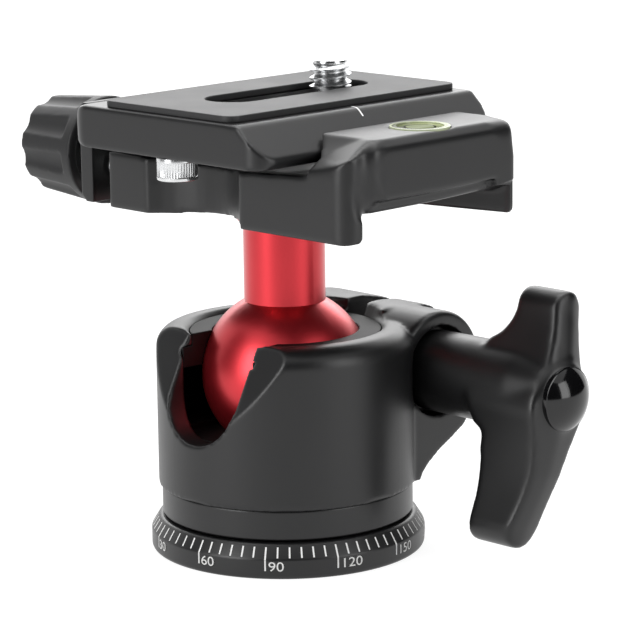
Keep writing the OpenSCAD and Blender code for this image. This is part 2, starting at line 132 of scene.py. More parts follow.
image_right = Vector((math.cos(camera_turn + math.pi / 2), math.sin(camera_turn + math.pi / 2), 0))
image_front = Vector((math.cos(camera_turn), math.sin(camera_turn), 0))
for name, right, front, height, width, tall, power in (
        ("left_box", -0.50, 0.42, 0.24, 0.26, 0.45, 2.2),
        ("right_box", 0.56, 0.40, 0.24, 0.30, 0.45, 1.3),
        ("top_box", 0.0, -0.10, 0.60, 0.60, 0.45, 3.0),
        ("back_box", 0.0, -0.75, 0.38, 1.10, 0.35, 3.8)):
    place = image_right * right + image_front * front + Vector((0, 0, height))
    bpy.ops.object.light_add(type="AREA", location=place)
    lamp = bpy.context.object
    lamp.name = name
    lamp.data.shape = "RECTANGLE"
    lamp.data.size, lamp.data.size_y = width, tall
    lamp.data.energy = power
    lamp.rotation_euler = (Vector((0, 0, 0.035)) - place).to_track_quat("-Z", "Y").to_euler()


# ---------------------------------------------------------------------------------------------
# Panning base: a turned aluminium disc, black anodised after turning, with a scale printed in
# white on its cone. Its edges are broken by a small round, as every turned edge is.
def coated(name, colour, worn, roughness, grain_mm, grain_depth, level=0.5):
    """Black coat on metal: fine grain, slow changes of tone and paler, smoother edges; the paler edges are
    partly wear and partly a painted highlight.
    """
    material, tree = new_material(name)
    place = add(tree, "TexCoord")
    # Three clouds of tone to 25 mm, with the surface's own grain over them
    cloud = add(tree, "TexNoise", {"Scale": 3 / (25 * MM), "Detail": 3.0}, {"Vector": (place, "Object")})
    grain = add(tree, "TexNoise", {"Scale": 1000.0 / grain_mm, "Detail": 2.0}, {"Vector": (place, "Object")})
    rounded = add(tree, "Bevel", {"Radius": 0.22 * MM}, samples=6)
    face = add(tree, "NewGeometry")
    facing = add(tree, "VectorMath", {}, {0: (rounded, 0), 1: (face, "Normal")}, operation="DOT_PRODUCT")
    # Edges take the worn colour: partly wear of the coat, partly a painted highlight along them
    edge_wear_and_highlight = add(tree, "MapRange", {"From Min": 0.995, "From Max": 0.86, "To Min": 0.0, "To Max": 0.55},
               {"Value": (facing, "Value")})
    tone = add(tree, "MixRGB", {1: linear(colour), 2: linear(worn)}, {0: (edge_wear_and_highlight, 0)})
    patch = add(tree, "MapRange", {"To Min": roughness - 0.05, "To Max": roughness + 0.06},
                {"Value": (cloud, 0)})
    bump = add(tree, "Bump", {"Strength": 0.5, "Distance": grain_depth * MM},
               {"Height": (grain, 0), "Normal": (rounded, 0)})
    shader = add(tree, "BsdfPrincipled", {"Specular IOR Level": level},
                 {"Base Color": (tone, 0), "Roughness": (patch, 0), "Normal": (bump, 0)})
    add(tree, "OutputMaterial", {}, {"Surface": (shader, 0)})
    return material


def dress(node, material):
    """Gives a CAD node its material."""
    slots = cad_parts[node].data.materials
    slots.clear()
    slots.append(material)


def only(piece):
    """Makes a piece the one selected and active object."""
    bpy.ops.object.select_all(action="DESELECT")
    piece.select_set(True)
    bpy.context.view_layer.objects.active = piece


def machined_copy(node, name):
    """A merged copy of a CAD node's mesh, with its flat faces joined up."""
    only(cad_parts[node])
    bpy.ops.object.duplicate()
    piece = bpy.context.object
    piece.name = name
    piece.data.name = name
    bpy.ops.object.mode_set(mode="EDIT")
    bpy.ops.mesh.select_all(action="SELECT")
    bpy.ops.mesh.remove_doubles(threshold=0.001 * MM)
    bpy.ops.mesh.dissolve_limited(angle_limit=math.radians(0.5))
    bpy.ops.object.mode_set(mode="OBJECT")
    return piece


def round_edges(piece, radius, steps=3, sharper_than=30):
    """Rounds the edges that turn by more than an angle."""
    bevel = piece.modifiers.new("rounding", "BEVEL")
    bevel.width, bevel.segments = radius * MM, steps
    bevel.limit_method, bevel.angle_limit = "ANGLE", math.radians(sharper_than)
    bevel.use_clamp_overlap = False
    bpy.context.view_layer.objects.active = piece
    bpy.ops.object.modifier_apply(modifier=bevel.name)


def finish(piece, material, body, slot, *nodes):
    """Smooths a piece, gives it its material and puts it on its body in place of the CAD nodes."""
    only(piece)
    bpy.ops.object.shade_smooth_by_angle(angle=math.radians(32))
    even = piece.modifiers.new("even_normals", "WEIGHTED_NORMAL")
    even.keep_sharp = True
    bpy.ops.object.modifier_apply(modifier=even.name)
    piece.data.materials.clear()
    piece.data.materials.append(material)
    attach(piece, body)
    if nodes:
        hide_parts(*nodes)


anodised_dial = coated("black_anodised_turned_dial", "#151516", "#3c3c3d", 0.36, 0.12, 0.004)
dial = machined_copy("base_dial", "graduated_dial")
round_edges(dial, 0.2, 2)
finish(dial, anodised_dial, "base", "dial_black", "base_dial")
collar = machined_copy("bottom_collar", "threaded_collar")
round_edges(collar, 0.15, 2)
finish(collar, anodised_dial, "housing", "collar_black", "bottom_collar")

dial_r, cone_top_r, wall_top, cone_top = 20.75, 19.6, 3.0, 4.8
first_mark, mark_step, mark_width, ink_depth = -144, 5, 0.24, 0.04
number_foot, short_foot = 1.35, 3.25
# Printed ink: flat white, faintly mottled with seven spots to 2 mm
ink, tree = new_material("white_scale_ink")
place = add(tree, "TexCoord")
mottle = add(tree, "TexNoise", {"Scale": 7 / (2 * MM), "Detail": 2.0}, {"Vector": (place, "Object")})
tone = add(tree, "MixRGB", {1: linear("#ececea"), 2: linear("#fdfdfc")}, {0: (mottle, 0)})
shader = add(tree, "BsdfPrincipled", {"Roughness": 0.6}, {"Base Color": (tone, 0)})
add(tree, "OutputMaterial", {}, {"Surface": (shader, 0)})


def scale_mark(angle, low, width):
    """One ink line down the cone, and onto the wall when low is under its top."""
    slope = math.atan2(dial_r - cone_top_r, cone_top - wall_top)
    bpy.ops.mesh.primitive_cube_add(size=1)
    mark = bpy.context.object
    top_z = cone_top - 0.15
    bottom_z = max(low, wall_top + 0.02)
    middle = (top_z + bottom_z) / 2
    radius = dial_r - (middle - wall_top) * math.tan(slope)
    length = (top_z - bottom_z) / math.cos(slope)
    mark.matrix_world = (Matrix.Rotation(angle, 4, "Z") @ Matrix.Translation(Vector((radius, 0, middle)) * MM)
                         @ Matrix.Rotation(-slope, 4, "Y")
                         @ Matrix.Diagonal((ink_depth * MM, width * MM, length * MM, 1)))
    bpy.ops.object.transform_apply()
    if low < wall_top:
        bpy.ops.mesh.primitive_cube_add(size=1)
        wall = bpy.context.object
        wall.matrix_world = (Matrix.Rotation(angle, 4, "Z")
                             @ Matrix.Translation(Vector((dial_r, 0, (low + wall_top) / 2)) * MM)
                             @ Matrix.Diagonal((ink_depth * MM, width * MM, (wall_top - low) * MM, 1)))
        bpy.ops.object.transform_apply()
        mark.select_set(True)
        bpy.context.view_layer.objects.active = mark
        bpy.ops.object.join()
    return bpy.context.object


marks = []
for step in range(360 // mark_step):
    value = step * mark_step
    angle = math.radians(value + first_mark)
    marks.append(scale_mark(angle, number_foot if value % 30 == 0 else short_foot, mark_width))
bpy.ops.object.select_all(action="DESELECT")
for mark in marks:
    mark.select_set(True)
bpy.context.view_layer.objects.active = marks[0]
bpy.ops.object.join()
marks = bpy.context.object
marks.name = "dial_marks"
marks.data.materials.append(ink)
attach(marks, "base")

number_size, number_gap, widened = 2.0, 0.35, 1.2
for value in range(0, 360, 30):
    bpy.ops.object.select_all(action="DESELECT")
    angle = math.radians(value + first_mark)
    bpy.ops.object.text_add()
    number = bpy.context.object
    number.name = "dial_number_%d" % value
    number.data.body = str(value)
    number.data.size = number_size * MM
    number.data.extrude = 0.01 * MM
    bpy.ops.object.convert(target="MESH")
    number.matrix_world = (Matrix.Rotation(angle, 4, "Z")
                           @ Matrix.Translation(Vector((dial_r + 1, number_gap, number_foot)) * MM)
                           @ Matrix.Rotation(math.pi / 2, 4, "Z") @ Matrix.Rotation(math.pi / 2, 4, "X"))
    bpy.ops.object.transform_apply()
    outward = Vector((math.cos(angle), math.sin(angle), 0))
    for vertex in number.data.vertices:
        depth = vertex.co.dot(outward) / MM - dial_r - 1
        across = angle + widened * vertex.co.dot(Vector((-outward.y, outward.x, 0))) / (dial_r * MM)
        vertex.co.x = math.cos(across) * (dial_r + 0.01 + depth) * MM
        vertex.co.y = math.sin(across) * (dial_r + 0.01 + depth) * MM
    stroke = number.modifiers.new("bold_stroke", "DISPLACE")
    stroke.strength, stroke.mid_level = 0.055 * MM, 0
    bpy.ops.object.modifier_apply(modifier=stroke.name)
    number.data.materials.append(ink)
    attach(number, "base")


# ---------------------------------------------------------------------------------------------
# Hidden hardware inside the base and the lock: plain turned and stamped steel.
# It shows only from below or when the head is taken apart.
# Zinc plate gives a bright grey metal with a fine haze, nine patches to 10 mm.
plated, tree = new_material("zinc_plated_steel")
place = add(tree, "TexCoord")
lines = add(tree, "TexNoise", {"Scale": 9 / (10 * MM), "Detail": 3.0}, {"Vector": (place, "Object")})
worn = add(tree, "MapRange", {"To Min": 0.25, "To Max": 0.42}, {"Value": (lines, 0)})
tone = add(tree, "MixRGB", {1: linear("#a9abac"), 2: linear("#c6c8c8")}, {0: (lines, 0)})
bump = add(tree, "Bump", {"Strength": 0.2, "Distance": 0.01 * MM}, {"Height": (lines, 0)})
shader = add(tree, "BsdfPrincipled", {"Metallic": 1.0},
             {"Base Color": (tone, 0), "Roughness": (worn, 0), "Normal": (bump, 0)})
add(tree, "OutputMaterial", {}, {"Surface": (shader, 0)})
for node in ("thrust_washer", "retaining_clip", "wave_spring", "lock_washer", "lock_stud", "clamp_bolt",
             "guide_pins", "return_springs", "clamp_screw", "knob_washer"):
    dress(node, plated)

# Moulded acetal: waxy off-white that light enters a little way, with flow clouds of 2.5 mm
acetal, tree = new_material("moulded_white_acetal")
place = add(tree, "TexCoord")
cloud = add(tree, "TexNoise", {"Scale": 1 / (2.5 * MM), "Detail": 3.0}, {"Vector": (place, "Object")})
tone = add(tree, "MixRGB", {1: linear("#d9d8d2"), 2: linear("#e8e7e2")}, {0: (cloud, 0)})
bump = add(tree, "Bump", {"Strength": 0.15, "Distance": 0.02 * MM}, {"Height": (cloud, 0)})
shader = add(tree, "BsdfPrincipled",
             {"Roughness": 0.4, "Subsurface Weight": 0.05, "Subsurface Scale": 1.0 * MM},
             {"Base Color": (tone, 0), "Normal": (bump, 0)})
add(tree, "OutputMaterial", {}, {"Surface": (shader, 0)})
dress("pan_washer", acetal)

# ---------------------------------------------------------------------------------------------
# Housing: a die-cast and turned aluminium pot with a satin black coat. Tumbling after casting
# left its edges soft. The coat is paler along them: partly wear, where it is a little thinner, partly a painted
# highlight.
cast_black = coated("black_coated_cast_aluminium", "#151516", "#464647", 0.38, 0.22, 0.008)
pot = machined_copy("housing", "cast_housing")


def wear(piece, passes, place=""):
    """Wears a recast piece round, all over or at one group of vertices."""
    worn = piece.modifiers.new("wear", "SMOOTH")
    worn.factor, worn.iterations, worn.vertex_group = 0.5, passes, place
    bpy.context.view_layer.objects.active = piece
    bpy.ops.object.modifier_apply(modifier=worn.name)


def tumble(piece, grain, passes):
    """Recasts a piece in even facets and wears its edges round, as tumbling does."""
    only(piece)
    skin = piece.modifiers.new("skin", "REMESH")
    skin.mode, skin.voxel_size, skin.use_smooth_shade = "VOXEL", grain * MM, True
    bpy.ops.object.modifier_apply(modifier=skin.name)
    wear(piece, passes)


def wear_down(piece, places):
    """Wears places of a recast piece further down. Each has a middle, a reach that it fades out over,
    and a number of passes."""
    for middle, reach, passes in places:
        group = piece.vertex_groups.new(name="worn_place")
        for vertex in piece.data.vertices:
            near = 1 - (vertex.co / MM - Vector(middle)).length / reach
            if near > 0:
                group.add([vertex.index], min(near * 2, 1), "REPLACE")
        wear(piece, passes, group.name)
        piece.vertex_groups.clear()


tumble(pot, 0.3, 6)
# The lug's corners beside its slit and at the rim, and one end of the seat's groove at the notch
wear_down(pot, (((3, 17, 33.5), 5.0, 60), ((-3.5, 21, 33.5), 3.0, 30), ((8, 18, 33), 5.0, 40),
                ((-6.5, -14.5, 31.4), 2.2, 40)))
finish(pot, cast_black, "housing", "housing_black", "housing")

# Seats: black acetal, turned, dull and smooth. The upper one holds the ball under the rim, and the
# cup lies below it.
black_acetal = coated("black_acetal", "#090909", "#141415", 0.55, 0.2, 0.004, 0.2)
upper_seat = machined_copy("seat_ring", "upper_seat")
round_edges(upper_seat, 0.15, 2)
# Its two ends stop just short of the drop notch: they turn back a little, fading out along the ring
cut_end, new_end, fade_end = 28, 29.5, 43
for vertex in upper_seat.data.vertices:
    out = math.hypot(vertex.co.x, vertex.co.y)
    turn = math.degrees(math.atan2(abs(vertex.co.x), -vertex.co.y))
    if turn < fade_end:
        turn = math.radians(new_end + (turn - cut_end) * (fade_end - new_end) / (fade_end - cut_end))
        vertex.co.x, vertex.co.y = math.copysign(out * math.sin(turn), vertex.co.x), -out * math.cos(turn)
finish(upper_seat, black_acetal, "housing", "seat_plastic", "seat_ring")
for node in ("ball_cup", "screw_clip"):
    dress(node, black_acetal)

# ---------------------------------------------------------------------------------------------
# Ball and stem: one turned aluminium bar, bead blasted and anodised red.
# Dyed anodising keeps a metal sheen under a clear, slightly glossy skin.
anodised_red, tree = new_material("red_anodised_aluminium")
place = add(tree, "TexCoord")
cloud = add(tree, "TexNoise", {"Scale": 9 / (100 * MM), "Detail": 2.0}, {"Vector": (place, "Object")})
# Faint turning lines run round it, nine to the millimetre
stretch = add(tree, "Mapping", {"Scale": (3 / (50 * MM), 3 / (50 * MM), 9 / MM)}, {"Vector": (place, "Object")})
rings = add(tree, "TexNoise", {"Scale": 1.0, "Detail": 2.0}, {"Vector": (stretch, 0)})
tone = add(tree, "MixRGB", {1: linear("#c42630"), 2: linear("#d22e38")}, {0: (cloud, 0)})
worn = add(tree, "MapRange", {"To Min": 0.32, "To Max": 0.42}, {"Value": (rings, 0)})
bump = add(tree, "Bump", {"Strength": 0.12, "Distance": 0.004 * MM}, {"Height": (rings, 0)})
shader = add(tree, "BsdfPrincipled", {"Metallic": 0.9, "Coat Weight": 0.5, "Coat Roughness": 0.3},
             {"Base Color": (tone, 0), "Roughness": (worn, 0), "Normal": (bump, 0)})
add(tree, "OutputMaterial", {}, {"Surface": (shader, 0)})
dress("ball_stem", anodised_red)

# ---------------------------------------------------------------------------------------------
# Lock lever: a cast two-armed wing lever with the same coat as the housing. Its front is crowned
# across each arm, and a glossy plastic cap closes the hub.
lever_black = coated("black_coated_cast_lever", "#0e0e0f", "#242425", 0.36, 0.2, 0.006)
lock_y, lock_z, lever_tilt = 17.0, 26.1, math.radians(15)
wing = machined_copy("lever", "wing_lever")
hub_r = 6.2
for r_back, r_front, back, front in ((hub_r, hub_r, 14.0, 33.6), (hub_r, 5.5, 33.5, 39.2),
                                     (5.5, 4.8, 39.1, 40.4)):
    bpy.ops.mesh.primitive_cone_add(vertices=128, radius1=r_back * MM, radius2=r_front * MM,
                                    depth=(front - back) * MM,
                                    location=((front + back) / 2 * MM, lock_y * MM, lock_z * MM),
                                    rotation=(0, math.pi / 2, 0))
    bpy.ops.object.transform_apply()
    wing.select_set(True)
    bpy.context.view_layer.objects.active = wing
    bpy.ops.object.join()
tumble(wing, 0.2, 14)
across = Vector((0, math.cos(lever_tilt), -math.sin(lever_tilt)))
upward = Vector((0, math.sin(lever_tilt), math.cos(lever_tilt)))
hub_low, hub_high, flare_start, flare = -5.6, 6.3, 26.6, 1.4
front_start, front_depth, hub_swell, crown_up, crown_down = 32.5, 3.0, 0.95, 0.27, 0.12
arm_start, arm_back, scoop, swell_top, swell_bottom = 7, 34, 0.6, 4, -12
for vertex in wing.data.vertices:
    place = vertex.co / MM - Vector((0, lock_y, lock_z))
    off, along = abs(place.dot(across)), place.dot(upward)
    # The hub stays round between the arms and flares into them
    out, limit = math.hypot(place.y, place.z), hub_r + flare * max(place.x - flare_start, 0)
    if out > limit and hub_low < along < hub_high:
        vertex.co.y = (lock_y + place.y * limit / out) * MM
        vertex.co.z = (lock_z + place.z * limit / out) * MM
    # The front is crowned across both arms and swells forward at the hub
    weight = min(max((place.x - front_start) / front_depth, 0.0), 1.0)
    share = min(max((along + arm_start) / (2 * arm_start), 0), 1)
    crown = crown_down + (crown_up - crown_down) * share
    swell = hub_swell * (1 - max(along - swell_top, 0) / 8)
    if along <= swell_bottom:
        swell = hub_swell - 1.45 * min((swell_bottom - along) / 9, 1)
    fullest = max(swell, -0.5 if along < 0 else 0)
    vertex.co.x += weight * (fullest - crown * min(max(off - 0.4, 0), 4.2)) * MM
    # The lower arm's back is scooped out
    if along < -arm_start and place.x < arm_back:
        vertex.co.x -= scoop * min((-arm_start - along) / 2, 1) * min((arm_back - place.x) / 3, 1) * MM
wear(wing, 12)
wear_down(wing, (((28.3, 11, 21), 2.6, 60), ((31.4, 10.2, 34.1), 2.6, 60)))
finish(wing, lever_black, "lever", "lever_black", "lever")


def cut(place, facing, **kept):
    """Cuts the piece in edit mode along a plane."""
    bpy.ops.mesh.select_all(action="SELECT")
    bpy.ops.mesh.bisect(plane_co=Vector(place) * MM, plane_no=facing, threshold=0.001 * MM, **kept)


# Moulded gloss ABS: near black, with one clear highlight and a faint ripple, 13 waves to 50 mm
gloss, tree = new_material("gloss_black_abs_cap")
place = add(tree, "TexCoord")
ripple = add(tree, "TexNoise", {"Scale": 13 / (50 * MM), "Detail": 1.0}, {"Vector": (place, "Object")})
bump = add(tree, "Bump", {"Strength": 0.05, "Distance": 0.02 * MM}, {"Height": (ripple, 0)})
shader = add(tree, "BsdfPrincipled", {"Base Color": linear("#0d0d0e"), "Roughness": 0.11},
             {"Normal": (bump, 0)})
add(tree, "OutputMaterial", {}, {"Surface": (shader, 0)})
cap_base, cap_top, cap_r, cap_z = 41.15, 43.15, 4.7, lock_z - 0.4
dome_r = (cap_r ** 2 + (cap_top - cap_base) ** 2) / (2 * (cap_top - cap_base))
bpy.ops.object.select_all(action="DESELECT")
bpy.ops.mesh.primitive_uv_sphere_add(segments=96, ring_count=96, radius=dome_r * MM,
                                     location=((cap_top - dome_r) * MM, lock_y * MM, cap_z * MM),
                                     rotation=(0, math.pi / 2, 0))
dome = bpy.context.object
dome.name = "domed_cap"
bpy.ops.object.transform_apply()
bpy.ops.object.mode_set(mode="EDIT")
cut((cap_base, 0, 0), (1, 0, 0), clear_inner=True)
bpy.ops.mesh.select_all(action="SELECT")
bpy.ops.mesh.select_non_manifold()
bpy.ops.mesh.extrude_region_move(TRANSFORM_OT_translate={"value": (-0.05 * MM, 0, 0)})
bpy.ops.transform.resize(value=(1, 1.03, 1.03), center_override=(cap_base * MM, lock_y * MM, cap_z * MM))
bpy.ops.mesh.extrude_region_move(TRANSFORM_OT_translate={"value": (-3.0 * MM, 0, 0)})
bpy.ops.mesh.edge_face_add()
bpy.ops.mesh.select_all(action="SELECT")
bpy.ops.mesh.normals_make_consistent(inside=False)
bpy.ops.object.mode_set(mode="OBJECT")
finish(dome, gloss, "lever", "cap_gloss", "lever_cap")

# ---------------------------------------------------------------------------------------------
# Clamp: a cast body and a movable jaw, tumbled and coated like the housing. The body has a fixed
# jaw of its own, and the knob draws the other one against the plate.
clamp_black = coated("black_coated_clamp", "#151516", "#444445", 0.38, 0.22, 0.008)
clamp = machined_copy("clamp_body", "clamp_casting")


def hull(piece, *corners):
    """Joins the convex block between some corners to a piece."""
    bpy.ops.object.select_all(action="DESELECT")
    bpy.ops.mesh.primitive_circle_add(vertices=len(corners), radius=MM)
    block = bpy.context.object
    for vertex, corner in zip(block.data.vertices, corners):
        vertex.co = Vector(corner) * MM
    bpy.ops.object.mode_set(mode="EDIT")
    bpy.ops.mesh.select_all(action="SELECT")
    bpy.ops.mesh.convex_hull()
    bpy.ops.mesh.normals_make_consistent(inside=False)
    bpy.ops.object.mode_set(mode="OBJECT")
    piece.select_set(True)
    bpy.context.view_layer.objects.active = piece
    bpy.ops.object.join()


# The flat slant at the near end of the fixed jaw, above and below the dovetail's edge
hull(clamp, (18.7, -7.9, 65.8), (21.6, -14.1, 62.7), (21.6, -7.9, 62.7), (28.4, -16.45, 62.7),
     (29.4, -16.45, 62.7), (29.4, -16.45, 62.9), (29.4, -11.5, 65.8), (29.4, -7.9, 65.8), (29.4, -7.9, 62.7))
hull(clamp, (21.6, -14.1, 62.8), (21.6, -16.45, 61.3), (28.4, -16.45, 62.8), (29.4, -16.45, 62.8),
     (29.4, -7.9, 62.8), (21.6, -7.9, 62.8), (21.6, -16.45, 59.5), (29.4, -16.45, 59.5), (21.6, -7.9, 59.5),
     (29.4, -7.9, 59.5))
# The wall behind the stop screw's scallop, as deep as the block beside it, in short straight steps
scallop_x, scallop_y, scallop_r = -2.1, -25.7, 13.5
wall_start, wall_step, wall_thick, wall_foot, wall_head = -11.9, 1.637, 3.2, 51.4, 56
ends = []
for step in range(13):
    x = wall_start + step * wall_step
    y = scallop_y + math.sqrt(max(scallop_r ** 2 - (x - scallop_x) ** 2, 0))
    ends.append((x, y, wall_foot + min((x - wall_start) / 14, 1) * 0.8))
for (x0, y0, z0), (x1, y1, z1) in zip(ends, ends[1:]):
    hull(clamp, (x0, y0, z0), (x1, y1, z1), (x0, y0 + wall_thick, z0), (x1, y1 + wall_thick, z1),
         (x0, y0, wall_head), (x1, y1, wall_head), (x0, y0 + wall_thick, wall_head),
         (x1, y1 + wall_thick, wall_head))
tumble(clamp, 0.32, 6)
far_end, far_wall, far_head, face_x, set_back = 17.8, 12.5, 55.35, 29.4, 0.6
thin_start, thin_reach, thinning = 14, 15, 3.4
edge_start, edge_x, edge_rise = -2, 27.5, 1.6
block_foot, block_end = 52.05, 7.9
corner_x, corner_y, corner_r = 26.5, -13.5, 3.0
for vertex in clamp.data.vertices:
    place = vertex.co / MM
    # The outer face's lower edge rises towards the far end
    rise = edge_rise * (max(place.y - edge_start, 0) / (far_end - edge_start)) ** 2
    rise *= max(min((place.x - edge_x) / 2.5, 1), 0)
    rise *= max(1 - max(place.z - 55.6, 0) / 2.5, 0) * max(1 - max(55.2 - place.z, 0) / 2, 0)
    vertex.co.z += rise * MM
    # The far wall is set back from that face and gets thinner towards it
    if place.y > far_wall and place.z < far_head:
        if place.x > face_x:
            back = min((place.x - face_x) / 0.6, 1) * min((place.y - far_wall) / 2, 1)
            vertex.co.x -= set_back * back * MM
        if place.x > thin_start:
            thinner = thinning * min((place.x - thin_start) / thin_reach, 1) ** 1.2
            vertex.co.y += thinner * max(min((far_end - place.y) / 4.5, 1), 0) * MM
    # The near block ends square below the wall
    if place.z < block_foot and -16.6 < place.y < -12 and 1 < place.x < block_end:
        vertex.co.x = block_end * MM
    # Its outer corner is round
    if place.x > corner_x and place.y < corner_y:
        out = math.hypot(place.x - corner_x, place.y - corner_y)
        if out > corner_r:
            vertex.co.x = (corner_x + (place.x - corner_x) * corner_r / out) * MM
            vertex.co.y = (corner_y + (place.y - corner_y) * corner_r / out) * MM
# The slant's lower edge, the hollow beside the near block from top to bottom, and the far corner
wear_down(clamp, (((24, -16.3, 61.6), 2.2, 16), ((27, -16, 62.2), 2.2, 16), ((29.6, -12.6, 64), 3.0, 30),
                  ((30.2, -12, 61.6), 2.8, 60), ((30.2, -12.3, 60), 3.2, 90), ((30.0, -13, 57.6), 3.2, 120),
                  ((30.4, -11.6, 65.4), 2.5, 16), ((30.6, 17.8, 65.8), 5.5, 90)))
finish(clamp, clamp_black, "clamp", "clamp_black", "clamp_body")
jaw = machined_copy("movable_jaw", "sliding_jaw")
tumble(jaw, 0.25, 5)
finish(jaw, clamp_black, "jaw", "jaw_black", "movable_jaw")

# Clamp knob: moulded glass-filled nylon with a fine spark-eroded skin.
nylon = coated("black_moulded_nylon", "#1b1b1c", "#303031", 0.5, 0.28, 0.02, 0.4)
grip = machined_copy("clamp_knob", "fluted_knob")
tumble(grip, 0.22, 10)
finish(grip, nylon, "knob", "knob_plastic", "clamp_knob")

# ---------------------------------------------------------------------------------------------
# Bubble level: a clear acrylic vial with yellow-green spirit in a bright ring.
# The bubble shows as a paler disc with a dark outline. On vial and ring the green is darker on one side and
# paler on the other: painted shade and light.
level_x, level_y, painted_shade_y, painted_light_y = 24.9, 3.2, -4.4, 3.0
rim_r, bubble_r, outline = 4.08, 2.2, 0.14


def level_tone(tree):
    """A green that pales across the level, painted shade on one side, and the distance from the level's middle.
    """
    place = add(tree, "TexCoord")
    centred = add(tree, "Mapping", {"Location": (-level_x * MM, -level_y * MM, 0), "Scale": (1, 1, 0)},
                  {"Vector": (place, "Object")})
    away = add(tree, "VectorMath", {}, {0: (centred, 0)}, operation="LENGTH")
    sides = add(tree, "SeparateXYZ", {}, {0: (centred, 0)})
    # Across the level the green runs from dark to pale: painted shade on one side, painted light on the other
    depth = add(tree, "MapRange", {"From Min": painted_shade_y * MM, "From Max": painted_light_y * MM}, {"Value": (sides, "Y")})
    return add(tree, "MixRGB", {1: linear("#2c3619"), 2: linear("#a9b189")}, {0: (depth, 0)}), away


def tinted(tree, tone, away, colour, operation, radius, width=0.0):
    """Another colour where the distance is past, within or at a radius."""
    there = add(tree, "Math", {1: radius * MM, 2: width * MM}, {0: (away, "Value")}, operation=operation)
    return add(tree, "MixRGB", {2: linear(colour)}, {0: (there, 0), 1: (tone, 0)})


clear_rim, tree = new_material("pale_acrylic_rim")
tone, away = level_tone(tree)
tone = tinted(tree, tone, away, "#c3cca8", "GREATER_THAN", rim_r)
shader = add(tree, "BsdfPrincipled", {"Roughness": 0.18}, {"Base Color": (tone, 0)})
add(tree, "OutputMaterial", {}, {"Surface": (shader, 0)})
dress("level_ring", clear_rim)
spirit, tree = new_material("green_spirit_in_acrylic")
tone, away = level_tone(tree)
tone = tinted(tree, tone, away, "#a2ab84", "LESS_THAN", bubble_r)
tone = tinted(tree, tone, away, "#15180d", "COMPARE", bubble_r, outline)
shader = add(tree, "BsdfPrincipled", {"Roughness": 0.05}, {"Base Color": (tone, 0)})
add(tree, "OutputMaterial", {}, {"Surface": (shader, 0)})
dress("level_vial", spirit)

# ---------------------------------------------------------------------------------------------
# Quick-release plate: extruded and milled aluminium, black anodised, with a rubber pad.
# Its slope towards the fixed jaw carries the centre mark.
plate_black = coated("black_anodised_milled_plate", "#161617", "#4a4a4b", 0.36, 0.14, 0.004)
plate = machined_copy("quick_plate", "sliding_plate")
tumble(plate, 0.28, 5)
# Its top edges along the slope and along the movable jaw, and the corners beside that jaw
for step in range(-4, 5):
    wear_down(plate, (((15.5, step * 5.5, 68), 3.6, 10),))
for step in range(-4, 5):
    wear_down(plate, (((-20.4, step * 5.5, 68), 2.6, 8),))
wear_down(plate, (((-20.0, -23.8, 62), 3.2, 40), ((-20.0, -23.8, 68), 3.2, 40)))
finish(plate, plate_black, "plate", "plate_black", "quick_plate")
# Moulded rubber: dull, and a little paler than the plate beside it
rubber = coated("black_rubber_pad", "#222223", "#343435", 0.55, 0.3, 0.02, 0.5)
pad = machined_copy("plate_pad", "rubber_pad")
round_edges(pad, 0.15, 2)
finish(pad, rubber, "plate", "pad_rubber", "plate_pad")

# Centre mark: one short line of white ink from the pad's edge down the plate's slope.
only(plate)
bpy.ops.object.duplicate()
centre_mark = bpy.context.object
centre_mark.name = "centre_mark"
bpy.ops.object.mode_set(mode="EDIT")
mark_half, mark_start, mark_end, mark_low = 0.14, 14.4, 16.7, 65
for place, facing in (((0, -mark_half, 0), (0, -1, 0)), ((0, mark_half, 0), (0, 1, 0)),
                      ((mark_start, 0, 0), (-1, 0, 0)), ((mark_end, 0, 0), (1, 0, 0)),
                      ((0, 0, mark_low), (0, 0, -1))):
    cut(place, facing, clear_outer=True)
bpy.ops.object.mode_set(mode="OBJECT")
coat = centre_mark.modifiers.new("ink", "SOLIDIFY")
coat.thickness, coat.offset = 0.03 * MM, 1
bpy.ops.object.modifier_apply(modifier=coat.name)
finish(centre_mark, ink, "plate", "plate_black")

# ---------------------------------------------------------------------------------------------
# Camera screw: bright chromed steel with a rolled quarter-inch thread of twenty turns to the inch.
# The plate's slot holds it, and its tip is broken by a small round.
# Chrome plate mirrors the room, dulled a little by fine wear, three marks to 2 mm.
bright, tree = new_material("chromed_steel_screw")
place = add(tree, "TexCoord")
lines = add(tree, "TexNoise", {"Scale": 3 / (2 * MM)}, {"Vector": (place, "Object")})
worn = add(tree, "MapRange", {"To Min": 0.2, "To Max": 0.3}, {"Value": (lines, 0)})
shader = add(tree, "BsdfPrincipled", {"Metallic": 1.0, "Base Color": linear("#d6d7d8")},
             {"Roughness": (worn, 0)})
add(tree, "OutputMaterial", {}, {"Surface": (shader, 0)})

screw_y, pitch, crest_r, root_r = 10.2, 1.27, 3.175, 2.42
flank, crest_flat, root_flat = 0.45, 0.16, 0.21
thread_low, thread_top = 68.7, 72.4
bpy.ops.object.select_all(action="DESELECT")
bpy.ops.mesh.primitive_plane_add(size=MM, location=(0, 0, 0))
thread = bpy.context.object
thread.name = "threaded_end"
bpy.ops.object.mode_set(mode="EDIT")
bpy.ops.mesh.select_all(action="SELECT")
bpy.ops.mesh.merge(type="CENTER")
bpy.ops.transform.translate(value=(root_r * MM, 0, (thread_low - 2.2 * pitch) * MM))
for turn in range(7):
    for step in ((0, root_flat), (crest_r - root_r, flank), (0, crest_flat), (root_r - crest_r, flank)):
        bpy.ops.mesh.extrude_region_move(TRANSFORM_OT_translate={"value": (step[0] * MM, 0, step[1] * MM)})
bpy.ops.object.mode_set(mode="OBJECT")
helix = thread.modifiers.new("helix", "SCREW")
helix.steps = helix.render_steps = 72
helix.screw_offset = pitch * MM
